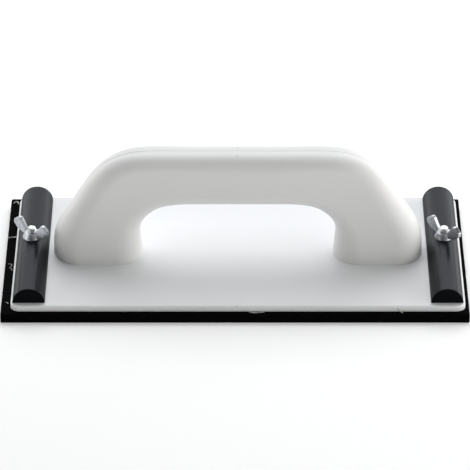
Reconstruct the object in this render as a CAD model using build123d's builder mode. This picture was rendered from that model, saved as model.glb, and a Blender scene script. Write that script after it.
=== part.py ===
from build123d import *
import os
from math import cos, hypot, radians, sin

# Hand sanding block: a white plate with a hollow D-shaped handle, a black rubber pad glued
# underneath, and at each end a half-round bar that a wing nut clamps down onto the abrasive sheet.
# Millimetres. The origin is the middle of the pad's underside, +X runs along the block,
# +Y to its rear edge and +Z up. Everything above the pad is laid out from the plate's centre.

# Pad and its adhesive
PAD_LENGTH = 226.0
PAD_DEPTH = 111.2
PAD_THICKNESS = 4.8
PAD_CORNER_RADIUS = 0.6
ADHESIVE_THICKNESS = 0.2
ADHESIVE_INSET = 1.5

# Base plate; the pad is glued on a little off its centre
PLATE_LENGTH = 219.2
PLATE_DEPTH = 105.0
PLATE_THICKNESS = 3.0
PLATE_CORNER_RADIUS = 4.5
PLATE_EDGE_RADIUS = 1.0
PLATE_SHIFT_X = 1.4
PLATE_SHIFT_Y = -0.5

# Clamp bars and their M4 bolts
BAR_RADIUS = 7.8
BAR_LENGTH = 99.4
BAR_OFFSET = 100.8
BOLT_OFFSET = 101.2
BAR_EDGE_RADIUS = 0.35
BAR_HOLE_RADIUS = 2.25
BOLT_RADIUS = 2.0
BOLT_HEAD_RADIUS = 4.5
BOLT_HEAD_THICKNESS = 1.2
BOLT_NECK_WIDTH = 4.0
BOLT_REACH_ABOVE_BAR = 5.3
BOLT_TIP_CHAMFER = 0.4
NECK_CLEARANCE = 0.1
RECESS_CLEARANCE = 0.3

# M4 wing nuts. The outline of a paddle is in distances from the nut's axis and heights over the
# bar, each with the radius that rounds its corner.
NUT_BORE_RADIUS = 2.05
NUT_BASE_RADIUS = 4.6
NUT_TOP_RADIUS = 3.5
NUT_HUB_HEIGHT = 3.0
NUT_PADDLE = (
    (2.7, 0.9, 0.5),
    (4.9, 0.9, 1.2),
    (8.6, 2.3, 2.0),
    (11.0, 4.6, 1.1),
    (11.0, 6.6, 1.1),
    (7.2, 9.4, 1.4),
    (3.2, 3.6, 0.8),
    (2.7, 2.5, 0.5),
)
NUT_PADDLE_THICKNESS = 2.2
NUT_EDGE_RADIUS = 0.3
NUT_ANGLES = {"left": 140.0, "right": 132.0}

# Handle: half of its side view as stations from the foot to the middle of the grip. Each is
# the finger side's x and z, the outer side's x and z, the depth and the corner radius.
HANDLE_STATIONS = (
    (46.8, 0.0, 90.5, 0.0, 28.8, 13.2),
    (47.4, 6.5, 90.2, 8.6, 27.6, 12.4),
    (47.8, 12.8, 86.8, 18.4, 25.4, 11.2),
    (46.6, 18.8, 79.4, 30.2, 23.2, 9.8),
    (42.2, 24.1, 70.7, 43.5, 21.4, 8.6),
    (35.6, 27.7, 58.2, 53.2, 20.4, 7.5),
    (27.0, 29.0, 43.0, 56.1, 20.0, 7.0),
    (19.0, 29.0, 28.0, 56.1, 20.0, 7.0),
    (6.0, 29.0, 8.5, 56.1, 20.0, 7.0),
)
HANDLE_WALL = 2.5
SEAM_GROOVE_WIDTH = 0.3
SEAM_GROOVE_DEPTH = 0.2

# Handle screws, countersunk from under the plate into bosses inside the feet
SCREW_SPACING_X = 136.0
SCREW_SPACING_Y = 16.0
SCREW_RADIUS = 1.75
SCREW_HEAD_RADIUS = 3.6
SCREW_LENGTH = 16.0
SCREW_POINT_LENGTH = 2.5
SCREW_HEAD_DEPTH = 2.0
SCREW_SLOT_WIDTH = 0.9
SCREW_SLOT_DEPTH = 0.8
SCREW_HOLE_RADIUS = 2.1
COUNTERSINK_RADIUS = 3.9
BOSS_RADIUS = 3.75
BOSS_HEIGHT = 20.0
FIT_GAP = 0.02

# Locating pins that line the two handle shells up along their seam
PIN_POINTS = ((-60.5, 29.5), (-30.0, 42.7), (30.0, 42.7), (60.5, 29.5))
PIN_POST_RADIUS = 3.0
PIN_RADIUS = 1.5
PIN_REACH = 3.0
PIN_CLEARANCE = 0.05
SOCKET_EXTRA_DEPTH = 0.5

PLATE_BOTTOM = PAD_THICKNESS + ADHESIVE_THICKNESS
PLATE_TOP = PLATE_BOTTOM + PLATE_THICKNESS
BAR_TOP = PLATE_TOP + BAR_RADIUS
BOLT_TIP = BAR_TOP + BOLT_REACH_ABOVE_BAR
DIRECTION = {"left": -1, "right": 1}


def plate_plane(height):
    """A level plane over the plate's centre, `height` above the pad's underside."""
    return Plane(origin=(PLATE_SHIFT_X, PLATE_SHIFT_Y, height))


def end_plane(side, offset, height):
    """A level plane at one end, `offset` from the plate's centre."""
    return Plane(origin=(PLATE_SHIFT_X + DIRECTION[side] * offset, PLATE_SHIFT_Y, height))


def bolt_plane(side, height):
    """A level plane on one clamp bolt's axis."""
    return end_plane(side, BOLT_OFFSET, height)


UNDERSIDE = Plane(
    origin=(PLATE_SHIFT_X, PLATE_SHIFT_Y, PLATE_BOTTOM), x_dir=(1, 0, 0), z_dir=(0, 0, -1)
)
SEAM = Plane(origin=(PLATE_SHIFT_X, PLATE_SHIFT_Y, PLATE_TOP), x_dir=(1, 0, 0), z_dir=(0, -1, 0))


os.makedirs("parts", exist_ok=True)


def save(part, name):
    part.label = name
    export_step(part, f"parts/{name}.step")


# ---------------------------------------------------------------- pad and adhesive
with BuildPart() as sanding_pad:
    Box(PAD_LENGTH, PAD_DEPTH, PAD_THICKNESS, align=(Align.CENTER, Align.CENTER, Align.MIN))
    fillet(sanding_pad.edges().filter_by(Axis.Z), PAD_CORNER_RADIUS)
save(sanding_pad.part, "sanding_pad")

with BuildPart() as pad_adhesive:
    with BuildSketch(plate_plane(PAD_THICKNESS)):
        Rectangle(PLATE_LENGTH - 2 * ADHESIVE_INSET, PLATE_DEPTH - 2 * ADHESIVE_INSET)
    extrude(amount=ADHESIVE_THICKNESS)
save(pad_adhesive.part, "pad_adhesive")

# ---------------------------------------------------------------- base plate
with BuildPart() as base_plate:
    with BuildSketch(plate_plane(PLATE_BOTTOM)):
        RectangleRounded(PLATE_LENGTH, PLATE_DEPTH, PLATE_CORNER_RADIUS)
    extrude(amount=PLATE_THICKNESS)
    fillet(base_plate.edges().group_by(Axis.Z)[-1], PLATE_EDGE_RADIUS)
    # A square hole and a flush head recess for each clamp bolt
    with BuildSketch(plate_plane(PLATE_BOTTOM)):
        with GridLocations(2 * BOLT_OFFSET, 0, 2, 1):
            Rectangle(BOLT_NECK_WIDTH + NECK_CLEARANCE, BOLT_NECK_WIDTH + NECK_CLEARANCE)
    extrude(amount=PLATE_THICKNESS, mode=Mode.SUBTRACT)
    with BuildSketch(plate_plane(PLATE_BOTTOM)):
        with GridLocations(2 * BOLT_OFFSET, 0, 2, 1):
            Circle(BOLT_HEAD_RADIUS + RECESS_CLEARANCE)
    extrude(amount=BOLT_HEAD_THICKNESS, mode=Mode.SUBTRACT)
    with Locations(UNDERSIDE):
        with GridLocations(SCREW_SPACING_X, SCREW_SPACING_Y, 2, 2):
            CounterSinkHole(SCREW_HOLE_RADIUS, COUNTERSINK_RADIUS, counter_sink_angle=90)
save(base_plate.part, "base_plate")


# ---------------------------------------------------------------- clamp bars, bolts and nuts
def clamp_bar(side):
    """Half-round bar that lies flat side down across the plate's end."""
    with BuildPart() as bar:
        with BuildSketch(end_plane(side, BAR_OFFSET, PLATE_TOP).rotated((90, 0, 0))):
            with BuildLine():
                CenterArc((0, 0), BAR_RADIUS, 0, 180)
                Line((-BAR_RADIUS, 0), (BAR_RADIUS, 0))
            make_face()
        extrude(amount=BAR_LENGTH / 2, both=True)
        ends = bar.faces().sort_by(Axis.Y)
        fillet(ends[0].edges() + ends[-1].edges(), BAR_EDGE_RADIUS)
        with Locations(bolt_plane(side, BAR_TOP)):
            Hole(BAR_HOLE_RADIUS)
    return bar.part


def clamp_bolt(side):
    """M4 bolt with a flat round head and a square neck that keeps it from turning."""
    with BuildPart() as bolt:
        with BuildSketch(bolt_plane(side, PLATE_BOTTOM)):
            Circle(BOLT_HEAD_RADIUS)
        extrude(amount=BOLT_HEAD_THICKNESS)
        with BuildSketch(bolt_plane(side, PLATE_BOTTOM)):
            Rectangle(BOLT_NECK_WIDTH, BOLT_NECK_WIDTH)
        extrude(amount=PLATE_THICKNESS)
        with BuildSketch(bolt_plane(side, PLATE_BOTTOM)):
            Circle(BOLT_RADIUS)
        extrude(amount=BOLT_TIP - PLATE_BOTTOM)
        chamfer(bolt.edges().sort_by(Axis.Z)[-1], BOLT_TIP_CHAMFER)
    return bolt.part


def wing_nut(side):
    """Cast wing nut: a tapered hub with two flat paddles that rise outwards."""
    seat = bolt_plane(side, BAR_TOP)
    angle = radians(NUT_ANGLES[side])
    paddle_plane = Plane(
        origin=seat.origin,
        x_dir=(cos(angle), sin(angle), 0),
        z_dir=(sin(angle), -cos(angle), 0),
    )
    corner_radii = [radius for _, _, radius in NUT_PADDLE]
    with BuildPart() as nut:
        with BuildSketch(paddle_plane):
            for direction in (1, -1):
                outline = [(direction * reach, height) for reach, height, _ in NUT_PADDLE]
                with BuildLine():
                    FilletPolyline(*outline, close=True, radius=corner_radii)
                make_face()
        extrude(amount=NUT_PADDLE_THICKNESS / 2, both=True)
        paddle_faces = nut.faces().filter_by(GeomType.PLANE).sort_by(SortBy.AREA)[-4:]
        fillet([edge for face in paddle_faces for edge in face.edges()], NUT_EDGE_RADIUS)
        with BuildSketch(seat):
            Circle(NUT_BASE_RADIUS)
        with BuildSketch(seat.offset(NUT_HUB_HEIGHT)):
            Circle(NUT_TOP_RADIUS)
        loft()
        with Locations(seat):
            Hole(NUT_BORE_RADIUS)
    return nut.part


for side in ("left", "right"):
    save(clamp_bar(side), f"clamp_bar_{side}")
    save(clamp_bolt(side), f"clamp_bolt_{side}")
    save(wing_nut(side), f"wing_nut_{side}")


# ---------------------------------------------------------------- handle
def handle_body(inset):
    """The closed D-shaped handle, or its hollow when `inset` is the wall's thickness."""
    half = [(1, station) for station in HANDLE_STATIONS]
    other_half = [(-1, station) for station in reversed(HANDLE_STATIONS)]
    with BuildPart() as body:
        for direction, station in half + other_half:
            inner_x, inner_z, outer_x, outer_z, depth, radius = station
            across_x = direction * (outer_x - inner_x)
            across_z = outer_z - inner_z
            width = hypot(across_x, across_z)
            section_plane = Plane(
                origin=(
                    PLATE_SHIFT_X + direction * (inner_x + outer_x) / 2,
                    PLATE_SHIFT_Y,
                    PLATE_TOP + (inner_z + outer_z) / 2,
                ),
                x_dir=(across_x, 0, across_z),
                z_dir=(-across_z, 0, across_x),
            )
            with BuildSketch(section_plane):
                RectangleRounded(width - 2 * inset, depth - 2 * inset, radius - inset)
        loft()
    return body.part


def inner_posts(skin):
    """Screw bosses and pin posts of both shells, trimmed to the handle's outside."""
    foot_depth = HANDLE_STATIONS[0][4]
    with BuildPart() as posts:
        with BuildSketch(plate_plane(PLATE_TOP)):
            with GridLocations(SCREW_SPACING_X, SCREW_SPACING_Y, 2, 2):
                Circle(BOSS_RADIUS)
            with GridLocations(SCREW_SPACING_X, foot_depth - HANDLE_WALL, 2, 2):
                Rectangle(HANDLE_WALL, 2 * HANDLE_WALL)
        extrude(amount=BOSS_HEIGHT)
        with BuildSketch(SEAM):
            with Locations(*PIN_POINTS):
                Circle(PIN_POST_RADIUS)
        extrude(amount=foot_depth, both=True)
        add(skin, mode=Mode.INTERSECT)
    return posts.part


def seam_groove():
    """A shallow groove round the outside of the handle, where its two shells meet."""
    with BuildPart() as groove:
        with BuildSketch(SEAM):
            Rectangle(PLATE_LENGTH, PLATE_LENGTH)
        extrude(amount=SEAM_GROOVE_WIDTH / 2, both=True)
        add(handle_body(SEAM_GROOVE_DEPTH), mode=Mode.SUBTRACT)
    return groove.part


def handle_shell(skin, hollow, posts, groove, keep):
    """One half of the handle with its bosses, posts and pilot holes, cut off at the seam."""
    with BuildPart() as shell:
        add(skin)
        add(groove, mode=Mode.SUBTRACT)
        add(hollow, mode=Mode.SUBTRACT)
        add(posts)
        with BuildSketch(plate_plane(PLATE_TOP)):
            with GridLocations(SCREW_SPACING_X, SCREW_SPACING_Y, 2, 2):
                Circle(SCREW_RADIUS + FIT_GAP)
        extrude(amount=SCREW_LENGTH - PLATE_THICKNESS + 1, mode=Mode.SUBTRACT)
        split(bisect_by=SEAM, keep=keep)
    return shell.part


outer_skin = handle_body(0)
inner_hollow = handle_body(HANDLE_WALL)
all_posts = inner_posts(outer_skin)
groove = seam_groove()
front_half = handle_shell(outer_skin, inner_hollow, all_posts, groove, Keep.TOP)
rear_half = handle_shell(outer_skin, inner_hollow, all_posts, groove, Keep.BOTTOM)

with BuildPart() as handle_front_shell:
    add(front_half)
    with BuildSketch(SEAM):
        with Locations(*PIN_POINTS):
            Circle(PIN_RADIUS)
    extrude(amount=-PIN_REACH)
save(handle_front_shell.part, "handle_front_shell")

with BuildPart() as handle_rear_shell:
    add(rear_half)
    with BuildSketch(SEAM):
        with Locations(*PIN_POINTS):
            Circle(PIN_RADIUS + PIN_CLEARANCE)
    extrude(amount=-(PIN_REACH + SOCKET_EXTRA_DEPTH), mode=Mode.SUBTRACT)
save(handle_rear_shell.part, "handle_rear_shell")


# ---------------------------------------------------------------- handle screws
def handle_screw(x, y):
    """Self-tapping countersunk screw, head down and flush with the plate's underside."""
    axis_plane = Plane(
        origin=(PLATE_SHIFT_X + x, PLATE_SHIFT_Y + y, PLATE_BOTTOM),
        x_dir=(1, 0, 0),
        z_dir=(0, -1, 0),
    )
    with BuildPart() as screw:
        with BuildSketch(axis_plane):
            with BuildLine():
                Polyline(
                    (0, 0),
                    (SCREW_HEAD_RADIUS, 0),
                    (SCREW_RADIUS, SCREW_HEAD_DEPTH),
                    (SCREW_RADIUS, SCREW_LENGTH - SCREW_POINT_LENGTH),
                    (0, SCREW_LENGTH),
                    close=True,
                )
            make_face()
        revolve(axis=Axis(axis_plane.origin, (0, 0, 1)))
        with BuildSketch(Plane(origin=axis_plane.origin)):
            Rectangle(SCREW_HEAD_RADIUS, SCREW_SLOT_WIDTH)
            Rectangle(SCREW_SLOT_WIDTH, SCREW_HEAD_RADIUS)
        extrude(amount=SCREW_SLOT_DEPTH, mode=Mode.SUBTRACT)
    return screw.part


for side, x in (("left", -SCREW_SPACING_X / 2), ("right", SCREW_SPACING_X / 2)):
    for row, y in (("front", -SCREW_SPACING_Y / 2), ("rear", SCREW_SPACING_Y / 2)):
        save(handle_screw(x, y), f"handle_screw_{side}_{row}")
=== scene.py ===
import math

import bpy
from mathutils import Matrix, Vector, noise


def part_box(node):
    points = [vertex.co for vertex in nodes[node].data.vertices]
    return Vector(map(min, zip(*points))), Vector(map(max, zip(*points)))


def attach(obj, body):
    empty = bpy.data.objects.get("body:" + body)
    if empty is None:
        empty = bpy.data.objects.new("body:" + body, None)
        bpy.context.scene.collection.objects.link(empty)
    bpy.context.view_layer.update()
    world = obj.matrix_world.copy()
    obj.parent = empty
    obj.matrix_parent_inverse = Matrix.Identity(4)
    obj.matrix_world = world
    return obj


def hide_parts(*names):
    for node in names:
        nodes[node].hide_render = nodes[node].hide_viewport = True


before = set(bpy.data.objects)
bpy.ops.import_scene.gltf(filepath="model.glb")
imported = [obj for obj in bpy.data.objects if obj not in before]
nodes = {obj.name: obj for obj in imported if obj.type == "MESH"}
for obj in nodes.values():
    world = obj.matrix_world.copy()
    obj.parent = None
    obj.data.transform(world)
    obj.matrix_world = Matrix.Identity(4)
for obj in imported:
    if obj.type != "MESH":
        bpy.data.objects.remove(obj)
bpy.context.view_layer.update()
MM = 0.001
SIDES = ("left", "right")

# ------------------------------------------------------------------ places, from the frame
pad_low, pad_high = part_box("sanding_pad")
plate_low, plate_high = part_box("base_plate")
plate_y = (plate_low.y + plate_high.y) / 2
bar_low, bar_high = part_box("clamp_bar_left")
bar_half = (bar_high.y - bar_low.y) / 2
grip_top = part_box("handle_front_shell")[1].z

# ------------------------------------------------------------------ camera
CAMERA_ELEVATION = math.radians(30.6)
SENSOR = 36.0
LENS = 291.064
VIEW_WIDTH = 231.527 * MM  # how much of the block's length the view takes in
AIM_ABOVE = 7.49 * MM  # the view's middle is this far above the plate's middle
CLIP_NEAR = 0.05
CLIP_FAR = 20.0

camera_data = bpy.data.cameras.new("camera")
camera = bpy.data.objects.new("camera", camera_data)
bpy.context.scene.collection.objects.link(camera)
bpy.context.scene.camera = camera
camera_data.sensor_width = SENSOR
camera_data.lens = LENS
distance = VIEW_WIDTH * LENS / SENSOR
forward = Vector((0, math.cos(CAMERA_ELEVATION), -math.sin(CAMERA_ELEVATION)))
upward = Vector((0, math.sin(CAMERA_ELEVATION), math.cos(CAMERA_ELEVATION)))
target = Vector((0, plate_y, plate_high.z)) + upward * AIM_ABOVE
camera.location = target - forward * distance
camera.rotation_euler = (math.pi / 2 - CAMERA_ELEVATION, 0, 0)
camera_data.clip_start = CLIP_NEAR
camera_data.clip_end = CLIP_FAR

# ------------------------------------------------------------------ lights and floor
WORLD_STRENGTH = 0.01
FLOOR_REACH = 6.0
COOL = (0.965, 0.98, 1.0)
WARM = (1.0, 0.99, 0.965)
# Each soft box: name, place, size, power and color. All of them face the origin. The low back box
# reaches down nearly to the floor, so that the bars mirror an even sheen across their crowns.
LIGHTS = (
    ("top_box", (0, 0, 1.1), (0.9, 0.7), 1.7, COOL),
    ("back_low_box", (0, 0.5, 0.22), (0.9, 0.44), 1.6, COOL),
    ("back_high_box", (0, 0.6, 0.9), (1.2, 0.7), 7.5, COOL),
    ("front_box", (0, -0.9, 0.55), (1.0, 0.5), 0.85, WARM),
    ("right_front_box", (0.75, -0.6, 0.4), (0.5, 0.5), 1.4, WARM),
    ("left_box", (-0.9, 0.1, 0.22), (1.7, 0.4), 4.4, WARM),
    ("right_box", (0.9, 0.1, 0.22), (1.7, 0.4), 7.4, WARM),
)

bpy.context.scene.view_settings.view_transform = "Standard"
world = bpy.data.worlds.new("studio")
bpy.context.scene.world = world
world.use_nodes = True
backdrop = world.node_tree.nodes["Background"]
backdrop.inputs["Color"].default_value = (1, 1, 1, 1)
backdrop.inputs["Strength"].default_value = WORLD_STRENGTH


def area_light(name, place, size, power, color):
    """A rectangular soft box that faces the origin."""
    data = bpy.data.lights.new(name, "AREA")
    data.color = color
    data.shape = "RECTANGLE"
    data.size, data.size_y = size
    data.energy = power
    lamp = bpy.data.objects.new(name, data)
    lamp.location = place
    lamp.rotation_euler = Vector(place).to_track_quat("Z", "Y").to_euler()
    bpy.context.scene.collection.objects.link(lamp)


for light in LIGHTS:
    area_light(*light)

floor_mesh = bpy.data.meshes.new("floor")
floor_mesh.from_pydata(
    [(x * FLOOR_REACH, y * FLOOR_REACH, 0) for x, y in ((-1, -1), (1, -1), (1, 1), (-1, 1))],
    [],
    [(0, 1, 2, 3)],
)
floor = bpy.data.objects.new("floor", floor_mesh)
bpy.context.scene.collection.objects.link(floor)


# ------------------------------------------------------------------ material helpers
class Paint:
    """A node material that is put together one node at a time."""

    def __init__(self, name, **values):
        self.material = bpy.data.materials.new(name)
        self.material.use_nodes = True
        self.tree = self.material.node_tree
        self.shader = self.tree.nodes["Principled BSDF"]
        for socket, value in values.items():
            self.shader.inputs[socket.replace("_", " ")].default_value = value

    def node(self, kind, **settings):
        """A new node, with each setting given to its socket or else to its attribute."""
        made = self.tree.nodes.new(kind)
        for key, value in settings.items():
            if key in made.inputs:
                made.inputs[key].default_value = value
            else:
                setattr(made, key, value)
        return made

    def link(self, start, end):
        self.tree.links.new(start, end)

    def place(self):
        """The point on the piece, in metres."""
        return self.node("ShaderNodeTexCoord").outputs["Object"]

    def noise(self, scale, detail=4.0, roughness=0.5, stretch=None):
        """Soft noise over the piece, about 0.3 to 0.7, with `scale` waves a metre."""
        texture = self.node("ShaderNodeTexNoise", Scale=scale, Detail=detail, Roughness=roughness)
        source = self.place()
        if stretch:
            mapping = self.node("ShaderNodeMapping", Scale=stretch)
            self.link(source, mapping.inputs["Vector"])
            source = mapping.outputs["Vector"]
        self.link(source, texture.inputs["Vector"])
        return texture.outputs["Fac"]

    def cells(self, scale):
        """Distance to the nearest of many scattered points."""
        texture = self.node("ShaderNodeTexVoronoi", Scale=scale)
        self.link(self.place(), texture.inputs["Vector"])
        return texture.outputs["Distance"]

    def near(self, point, reach):
        """1 at a point of the piece, falling to 0 at `reach` from it."""
        away = self.node("ShaderNodeVectorMath", operation="DISTANCE")
        away.inputs[1].default_value = point
        self.link(self.place(), away.inputs[0])
        return self.spread(away.outputs["Value"], 1, 0, 0, reach)

    def axis(self, letter):
        """One coordinate of the point on the piece, in metres."""
        axes = self.node("ShaderNodeSeparateXYZ")
        self.link(self.place(), axes.inputs["Vector"])
        return axes.outputs[letter]

    def away_from_y(self, middle, start, end):
        """0 up to a distance `start` from the plane y = middle, rising to 1 at `end`."""
        shifted = self.node("ShaderNodeMath", operation="SUBTRACT")
        shifted.inputs[1].default_value = middle
        self.link(self.axis("Y"), shifted.inputs[0])
        distance = self.node("ShaderNodeMath", operation="ABSOLUTE")
        self.link(shifted.outputs["Value"], distance.inputs[0])
        return self.spread(distance.outputs["Value"], 0, 1, start, end)

    def larger(self, one, other):
        """The larger of two values."""
        maximum = self.node("ShaderNodeMath", operation="MAXIMUM")
        self.link(one, maximum.inputs[0])
        self.link(other, maximum.inputs[1])
        return maximum.outputs["Value"]

    def ramp(self, source, *stops):
        """The source turned to a color between (position, color) stops."""
        ramp = self.node("ShaderNodeValToRGB")
        while len(ramp.color_ramp.elements) < len(stops):
            ramp.color_ramp.elements.new(0.5)
        for element, (position, color) in zip(ramp.color_ramp.elements, stops):
            element.position = position
            element.color = (*color, 1)
        self.link(source, ramp.inputs["Fac"])
        return ramp.outputs["Color"]

    def spread(self, source, low, high, start=0.0, end=1.0):
        """The source's start to end stretched to low to high."""
        mapping = self.node("ShaderNodeMapRange")
        mapping.inputs["From Min"].default_value = start
        mapping.inputs["From Max"].default_value = end
        mapping.inputs["To Min"].default_value = low
        mapping.inputs["To Max"].default_value = high
        self.link(source, mapping.inputs["Value"])
        return mapping.outputs["Result"]

    def tint(self, color, mask, other):
        """The color mixed towards another where the mask is 1."""
        mix = self.node("ShaderNodeMix", data_type="RGBA")
        self.link(mask, mix.inputs["Factor"])
        self.link(color, mix.inputs["A"])
        mix.inputs["B"].default_value = (*other, 1)
        return mix.outputs["Result"]

    def bump(self, *layers):
        """Stacks (height source, depth in metres) pairs into the shader's normal."""
        normal = None
        for source, depth in layers:
            bump = self.node("ShaderNodeBump", Strength=1.0, Distance=depth)
            self.link(source, bump.inputs["Height"])
            if normal:
                self.link(normal, bump.inputs["Normal"])
            normal = bump.outputs["Normal"]
        self.link(normal, self.shader.inputs["Normal"])

    def color(self, source):
        self.link(source, self.shader.inputs["Base Color"])

    def gloss(self, source):
        self.link(source, self.shader.inputs["Roughness"])


def shade(color, factor):
    """The color made darker by a factor."""
    return tuple(part * factor for part in color)


# ------------------------------------------------------------------ materials
# Noise scales are waves a metre, and a bump's depth is how far the surface rises or sinks.
FLOOR_COLOR = (0.9, 0.9, 0.9, 1)
FLOOR_GLOW = 0.22
HANDLE_COLOR = (0.80, 0.80, 0.795)
PLATE_COLOR = (0.80, 0.81, 0.82)
# Each mark: its middle, its reach and the factor that darkens it. The grip has two gate marks.
GATE_X = 1.2 * MM
GATE_MARKS = (
    ((GATE_X, plate_y + 3.0 * MM, grip_top), 0.9 * MM, 0.72),
    ((GATE_X, plate_y - 5.0 * MM, grip_top), 0.9 * MM, 0.72),
)
FOOT_MARK = ((-58.2 * MM, plate_y - 14.4 * MM, plate_high.z + 2.0 * MM), 0.7 * MM, 0.8)
PLATE_MARKS = (
    ((13.0 * MM, plate_y - 10.0 * MM, plate_high.z), 0.5 * MM, 0.7),
    ((-14.8 * MM, plate_y - 25.0 * MM, plate_high.z), 0.5 * MM, 0.75),
    ((0.8 * MM, plate_low.y + 0.3 * MM, plate_high.z - 0.2 * MM), 1.0 * MM, 0.85),
)
MARK_DEPTH = 0.1 * MM
# Depth of the zone at each sawn end where the dull finish and the painted shade fade in
BAR_END_SKIN = 0.5 * MM
CROWN_ROUGHNESS = (0.2, 0.28)
FLANK_ROUGHNESS = 0.55
FLANK_HEIGHTS = (0.45, 0.85)  # the flanks' dullness fades out between these parts of the height


def floor_paint():
    """A matt white that glows faintly, so that the floor stays pale under the soft boxes."""
    paint = Paint(
        "floor_white",
        Roughness=0.9,
        Base_Color=FLOOR_COLOR,
        Emission_Color=(1, 1, 1, 1),
        Emission_Strength=FLOOR_GLOW,
    )
    return paint.material


def white_plastic(name, color, roughness, marks=()):
    """Moulded plastic: fine grain, faint flow marks, dark specks, uneven gloss and marks."""
    paint = Paint(name, IOR=1.49)
    tone = paint.ramp(paint.noise(18, 3), (0.3, shade(color, 0.985)), (0.7, color))
    specks = paint.spread(paint.cells(85), 1, 0, 0.02, 0.05)
    tone = paint.tint(tone, specks, shade(color, 0.9))
    grain = (paint.noise(2200, 3), 0.012 * MM)
    flow = (paint.noise(90, 2), 0.04 * MM)
    layers = [grain, flow]
    for point, reach, darkness in marks:
        mark = paint.near(point, reach)
        tone = paint.tint(tone, mark, shade(color, darkness))
        layers.append((mark, -MARK_DEPTH))
    paint.color(tone)
    paint.gloss(paint.spread(paint.noise(60, 4), *roughness))
    paint.bump(*layers)
    return paint.material


def bar_plastic():
    """Near-black plastic: a gloss that dulls down the flanks, and dull sawn ends whose colour is
    darkened to near black as painted shade.
    """
    paint = Paint(
        "bar_dark_plastic", IOR=1.5, Specular_IOR_Level=0.18, Specular_Tint=(0.76, 0.86, 1.0, 1)
    )
    ends = paint.away_from_y(plate_y, bar_half - BAR_END_SKIN, bar_half)
    tone = paint.ramp(
        paint.noise(55, 5), (0.3, (0.0030, 0.0035, 0.0050)), (0.7, (0.0055, 0.0065, 0.0095))
    )
    # Painted shade: the sawn ends are tinted darker than the rest of the bar
    paint.color(paint.tint(tone, ends, (0.001, 0.001, 0.0012)))
    crown = paint.spread(paint.noise(140, 4), *CROWN_ROUGHNESS)
    fade = (bar_low.z + part * (bar_high.z - bar_low.z) for part in FLANK_HEIGHTS)
    flanks = paint.spread(paint.axis("Z"), FLANK_ROUGHNESS, CROWN_ROUGHNESS[0], *fade)
    paint.gloss(paint.larger(paint.larger(crown, flanks), ends))
    grain = (paint.noise(1800, 3), 0.01 * MM)
    waves = (paint.noise(160, 2), 0.02 * MM)
    draw_lines = (paint.noise(900, 2, 0.5, (1, 0.02, 1)), 0.01 * MM)
    paint.bump(grain, waves, draw_lines)
    return paint.material


def zinc(name, color, roughness, grain):
    """Zinc plating: brighter and darker patches, small pits and a dull bloom."""
    paint = Paint(name, Metallic=1.0)
    patches = paint.noise(grain, 6, 0.65)
    paint.color(paint.ramp(patches, (0.36, shade(color, 0.5)), (0.6, color)))
    paint.gloss(paint.spread(paint.noise(grain * 2, 5), *roughness))
    pits = (paint.noise(grain * 3, 4), 0.04 * MM)
    paint.bump(pits)
    return paint.material


def pad_rubber():
    """Cellular rubber: black, dull, and pitted where its cells are cut open."""
    paint = Paint("pad_black_rubber", IOR=1.5, Specular_IOR_Level=0.04)
    tone = paint.ramp(
        paint.noise(300, 6), (0.35, (0.0004, 0.0004, 0.0004)), (0.75, (0.0014, 0.0014, 0.0015))
    )
    paint.color(tone)
    paint.gloss(paint.spread(paint.noise(500, 4), 0.8, 0.98))
    pores = (paint.noise(1600, 5, 0.7), 0.08 * MM)
    cut_cells = (paint.cells(900), 0.12 * MM)
    paint.bump(pores, cut_cells)
    return paint.material


def dried_glue():
    """White glue that has dried milky and lumpy."""
    paint = Paint("dried_glue", IOR=1.47)
    tone = paint.ramp(
        paint.noise(400, 4), (0.3, (0.33, 0.33, 0.30)), (0.7, (0.62, 0.62, 0.57))
    )
    paint.color(tone)
    paint.gloss(paint.spread(paint.noise(700, 3), 0.3, 0.6))
    lumps = (paint.noise(900, 3), 0.05 * MM)
    paint.bump(lumps)
    return paint.material


handle_white = white_plastic(
    "handle_white_plastic", HANDLE_COLOR, (0.42, 0.55), (*GATE_MARKS, FOOT_MARK)
)
plate_white = white_plastic("plate_white_plastic", PLATE_COLOR, (0.34, 0.46), PLATE_MARKS)
bar_dark = bar_plastic()
bolt_zinc = zinc("bolt_zinc", (0.88, 0.89, 0.90), (0.2, 0.38), 500)
nut_zinc = zinc("nut_cast_zinc", (0.56, 0.58, 0.62), (0.2, 0.42), 1300)
screw_zinc = zinc("screw_zinc", (0.7, 0.7, 0.72), (0.25, 0.45), 400)
rubber_black = pad_rubber()
glue_white = dried_glue()
floor.data.materials.append(floor_paint())


def paint_node(name, material):
    """Gives a node of the frame a better material."""
    nodes[name].data.materials.clear()
    nodes[name].data.materials.append(material)


paint_node("base_plate", plate_white)
paint_node("handle_front_shell", handle_white)
paint_node("handle_rear_shell", handle_white)
paint_node("pad_adhesive", glue_white)
for side in SIDES:
    paint_node(f"clamp_bar_{side}", bar_dark)
    for row in ("front", "rear"):
        paint_node(f"handle_screw_{side}_{row}", screw_zinc)


# ------------------------------------------------------------------ mesh helpers
SIDE_CORNERS = 4


def piece_from(name, mesh, material, body):
    """An object for a finished mesh that moves with a body. Only its flat ends, whose faces have
    more corners than those of its sides, keep sharp edges."""
    mesh.materials.clear()
    mesh.materials.append(material)
    for polygon in mesh.polygons:
        polygon.use_smooth = polygon.loop_total <= SIDE_CORNERS
    piece = bpy.data.objects.new(name, mesh)
    bpy.context.scene.collection.objects.link(piece)
    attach(piece, body)
    return piece


def ring_mesh(name, rings):
    """A closed mesh through rings that have equally many points, flat at both ends."""
    count = len(rings[0])
    faces = [tuple(reversed(range(count)))]
    for start in range(0, (len(rings) - 1) * count, count):
        for i in range(count):
            j = (i + 1) % count
            faces.append((start + i, start + j, start + count + j, start + count + i))
    faces.append(tuple(range((len(rings) - 1) * count, len(rings) * count)))
    mesh = bpy.data.meshes.new(name)
    mesh.from_pydata([point for ring in rings for point in ring], [], faces)
    return mesh


def wobble(point, scale, depth):
    """A smooth irregular value between -depth and depth at a point."""
    return depth * noise.noise(Vector(point) * scale)


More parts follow.
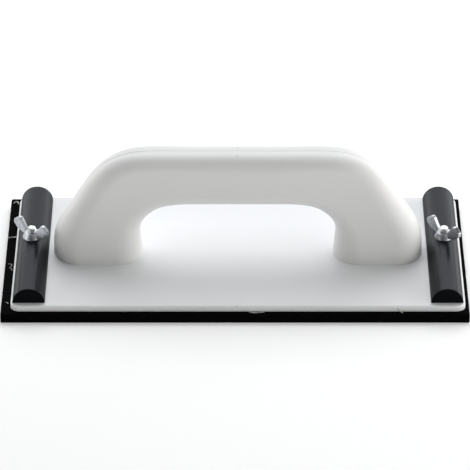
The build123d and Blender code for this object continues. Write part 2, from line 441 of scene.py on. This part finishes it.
# ------------------------------------------------------------------ rubber pad
PAD_STEP = 1.0 * MM
PAD_CORNER = 0.8 * MM
PAD_CORNER_STEPS = 5
PAD_ROUGHNESS = 0.07 * MM
PAD_WAVES = 700  # a metre
PAD_SIDE_PARTS = 8
# The pad's worn edge, as steps inwards and up from its corner, in millimetres
PAD_EDGE = ((0.60, 0.0), (0.32, 0.04), (0.12, 0.18), (0.0, 0.5))


def pad_outline():
    """Points round the pad, each with the direction that faces out."""
    low = pad_low + Vector((PAD_CORNER, PAD_CORNER, 0))
    high = pad_high - Vector((PAD_CORNER, PAD_CORNER, 0))
    corners = ((high.x, low.y, -90), (high.x, high.y, 0), (low.x, high.y, 90), (low.x, low.y, 180))
    points = []
    for (x, y, start), (next_x, next_y, _) in zip(corners, corners[1:] + corners[:1]):
        for step in range(PAD_CORNER_STEPS + 1):
            angle = math.radians(start + 90 * step / PAD_CORNER_STEPS)
            points.append((x, y, Vector((math.cos(angle), math.sin(angle), 0))))
        steps = round(math.hypot(next_x - x, next_y - y) / PAD_STEP)
        for step in range(1, steps):
            part = step / steps
            points.append((x + part * (next_x - x), y + part * (next_y - y), points[-1][2]))
    return points


def pad_ring(outline, inset, height):
    """The outline drawn in by an inset and a little unevenness, at a height over the floor."""
    ring = []
    for x, y, outward in outline:
        z = pad_low.z + height
        uneven = PAD_ROUGHNESS + wobble((x, y, z), PAD_WAVES, PAD_ROUGHNESS)
        reach = PAD_CORNER - inset - uneven
        ring.append((x + outward.x * reach, y + outward.y * reach, z))
    return ring


def rubber_pad():
    """The pad with softly rounded edges and sides as uneven as cut cellular rubber."""
    outline = pad_outline()
    thickness = pad_high.z - pad_low.z
    levels = [(inset * MM, height * MM) for inset, height in PAD_EDGE]
    levels += [
        (0.0, thickness * part / PAD_SIDE_PARTS) for part in range(2, PAD_SIDE_PARTS - 1)
    ]
    levels += [(inset * MM, thickness - height * MM) for inset, height in reversed(PAD_EDGE)]
    mesh = ring_mesh("rubber_pad", [pad_ring(outline, *level) for level in levels])
    pad = piece_from("rubber_pad", mesh, rubber_black, "base")
    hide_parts("sanding_pad")


rubber_pad()

# ------------------------------------------------------------------ threaded bolts
THREAD_PITCH = 0.7 * MM
THREAD_CREST = 1.98 * MM
THREAD_ROOT = 1.56 * MM
THREAD_VALLEY = 0.22  # flat part of the root, as a share of half a pitch
THREAD_FLANK = 0.62  # sloping part, as a share of half a pitch
THREAD_LEVELS = 12
TIP_RADIUS = 1.8 * MM
BOLT_POINTS = 48
HEAD_HEIGHT = 1.2 * MM
HEAD_RADIUS = 4.45 * MM
HEAD_BEVEL = 0.2 * MM
NECK_HALF = 1.98 * MM


def thread_radius(turn, height, tip):
    """The radius of a right-handed thread at a part of a turn and a height."""
    phase = (height / THREAD_PITCH - turn) % 1.0
    rise = min(1.0, max(0.0, (abs(phase - 0.5) * 2 - THREAD_VALLEY) / THREAD_FLANK))
    radius = THREAD_ROOT + rise * (THREAD_CREST - THREAD_ROOT)
    return min(radius, TIP_RADIUS + (tip - height))


def bolt_ring(centre, height, radius_at):
    """A level ring round the bolt's axis, whose radius may change with the part of a turn."""
    ring = []
    for i in range(BOLT_POINTS):
        turn = i / BOLT_POINTS
        radius = radius_at(turn)
        angle = math.tau * turn
        ring.append(
            (centre.x + radius * math.cos(angle), centre.y + radius * math.sin(angle), height)
        )
    return ring


def neck_radius(turn):
    """The distance from the axis to the square neck's side at a part of a turn."""
    angle = math.tau * turn
    return NECK_HALF / max(abs(math.cos(angle)), abs(math.sin(angle)))


def threaded_bolt(side):
    """Carriage bolt: a flat head, a square neck and a cut thread up to a chamfered tip."""
    low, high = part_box(f"clamp_bolt_{side}")
    centre = (low + high) / 2
    neck_bottom = low.z + HEAD_HEIGHT
    rings = [
        bolt_ring(centre, low.z, lambda turn: HEAD_RADIUS - HEAD_BEVEL),
        bolt_ring(centre, low.z + HEAD_BEVEL, lambda turn: HEAD_RADIUS),
        bolt_ring(centre, neck_bottom - HEAD_BEVEL, lambda turn: HEAD_RADIUS),
        bolt_ring(centre, neck_bottom, lambda turn: HEAD_RADIUS - HEAD_BEVEL),
        bolt_ring(centre, neck_bottom, neck_radius),
        bolt_ring(centre, plate_high.z, neck_radius),
    ]
    step = THREAD_PITCH / THREAD_LEVELS
    levels = int((high.z - plate_high.z) / step)
    for level in range(levels + 1):
        height = high.z - (levels - level) * step
        rings.append(
            bolt_ring(centre, height, lambda turn: thread_radius(turn, height, high.z))
        )
    mesh = ring_mesh(f"threaded_bolt_{side}", rings)
    bolt = piece_from(f"threaded_bolt_{side}", mesh, bolt_zinc, "base")
    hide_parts(f"clamp_bolt_{side}")


# ------------------------------------------------------------------ cast wing nuts
CAST_VOXEL = 0.14 * MM
CAST_SMOOTHING = 5
CAST_SMOOTH_FACTOR = 0.5
CAST_UNEVENNESS = 0.035 * MM
CAST_WAVES = 420  # a metre
BORE_RADIUS = 2.08 * MM


def cast_nut(side):
    """The wing nut as a casting: soft edges, blended roots and a slightly uneven skin."""
    node = nodes[f"wing_nut_{side}"]
    bolt_low, bolt_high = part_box(f"clamp_bolt_{side}")
    axis = (bolt_low + bolt_high) / 2
    rough = bpy.data.objects.new("rough_nut", node.data.copy())
    bpy.context.scene.collection.objects.link(rough)
    remesh = rough.modifiers.new("remesh", "REMESH")
    remesh.mode = "VOXEL"
    remesh.voxel_size = CAST_VOXEL
    smooth = rough.modifiers.new("smooth", "SMOOTH")
    smooth.factor = CAST_SMOOTH_FACTOR
    smooth.iterations = CAST_SMOOTHING
    evaluated = rough.evaluated_get(bpy.context.evaluated_depsgraph_get())
    mesh = bpy.data.meshes.new_from_object(evaluated)
    bpy.data.objects.remove(rough)
    mesh.name = f"cast_nut_{side}"
    normals = [vertex.normal.copy() for vertex in mesh.vertices]
    for vertex, normal in zip(mesh.vertices, normals):
        vertex.co -= normal * (CAST_UNEVENNESS + wobble(vertex.co, CAST_WAVES, CAST_UNEVENNESS))
        across = Vector((vertex.co.x - axis.x, vertex.co.y - axis.y, 0))
        if across.length < BORE_RADIUS:
            vertex.co += across.normalized() * (BORE_RADIUS - across.length)
    nut = piece_from(mesh.name, mesh, nut_zinc, f"{side}_nut")
    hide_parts(f"wing_nut_{side}")


for side in SIDES:
    threaded_bolt(side)
    cast_nut(side)

# ------------------------------------------------------------------ glue threads
# Stray threads and beads of dried glue on the pad where it stands out past the plate: five at its
# left end and two along its front. Each is a line of (distance in from the pad's left end, y, rise
# over the pad) and a radius, all in millimetres.
GLUE_THREADS = (
    (((0.4, 16.6, 0.1), (2.0, 16.8, 0.3), (3.6, 17.0, 0.25), (4.4, 17.3, 0.3)), 0.32),
    (((1.2, 50.5, 0.2), (2.4, 51.6, 0.5), (3.4, 51.2, 0.6), (3.9, 49.4, 0.3)), 0.34),
    (((1.5, -8.6, 0.2), (3.0, -9.0, 0.3), (3.4, -10.8, 0.3), (2.2, -12.6, 0.2)), 0.15),
    (((2.8, -13.0, 0.2), (3.6, -13.6, 0.3), (3.7, -15.2, 0.2)), 0.14),
    (((2.2, -44.4, 0.1), (2.9, -44.8, 0.2), (3.5, -45.8, 0.1)), 0.2),
    (((119.6, -53.3, 0.1), (122.0, -53.9, 0.1), (124.6, -53.8, 0.1), (127.2, -53.3, 0.1)), 0.3),
    (((191.2, -53.0, 2.2), (192.2, -53.4, 1.1), (193.8, -54.3, 0.1)), 0.24),
)
GLUE_SIDES = 10
GLUE_PARTS = 14
GLUE_HEADING_STEP = 0.02
GLUE_END_AREA = 0.08  # section left at a thread's ends, as a share of the full section
GLUE_BLUNTNESS = 6
GLUE_WAVES = 900  # a metre
GLUE_LUMPS = 0.35  # share of the radius
SPAN_MARGIN = 1e-6  # keeps the end of the way inside the last span


def along(points, part):
    """A point on the smooth curve through some points, at 0 to 1 of its way."""
    spans = len(points) - 1
    place = min(part * spans, spans - SPAN_MARGIN)
    first = int(place)
    t = place - first
    before, start, end, after = (
        Vector(points[min(max(first + shift, 0), spans)]) for shift in (-1, 0, 1, 2)
    )
    return 0.5 * (
        2 * start
        + (end - before) * t
        + (2 * before - 5 * start + 4 * end - after) * t**2
        + (3 * start - before - 3 * end + after) * t**3
    )


def glue_thread(number, points, radius):
    """A lumpy thread with blunt ends, along the smooth curve through its points."""
    line = [
        Vector((pad_low.x + inset * MM, y * MM, pad_high.z + rise * MM)) for inset, y, rise in points
    ]
    rings = []
    for part in range(GLUE_PARTS + 1):
        share = part / GLUE_PARTS
        centre = along(line, share)
        ahead = along(line, min(share + GLUE_HEADING_STEP, 1))
        behind = along(line, max(share - GLUE_HEADING_STEP, 0))
        turn = (ahead - behind).to_track_quat("Z", "Y").to_matrix()
        taper = math.sqrt(max(GLUE_END_AREA, 1 - (2 * share - 1) ** GLUE_BLUNTNESS))
        reach = radius * MM * taper * (1 + wobble(centre, GLUE_WAVES, GLUE_LUMPS))
        rings.append([
            centre + turn @ Vector((math.cos(angle), math.sin(angle), 0)) * reach
            for angle in (math.tau * i / GLUE_SIDES for i in range(GLUE_SIDES))
        ])
    mesh = ring_mesh(f"glue_thread_{number}", rings)
    piece_from(f"glue_thread_{number}", mesh, glue_white, "base")


for number, (points, radius) in enumerate(GLUE_THREADS, 1):
    glue_thread(number, points, radius)
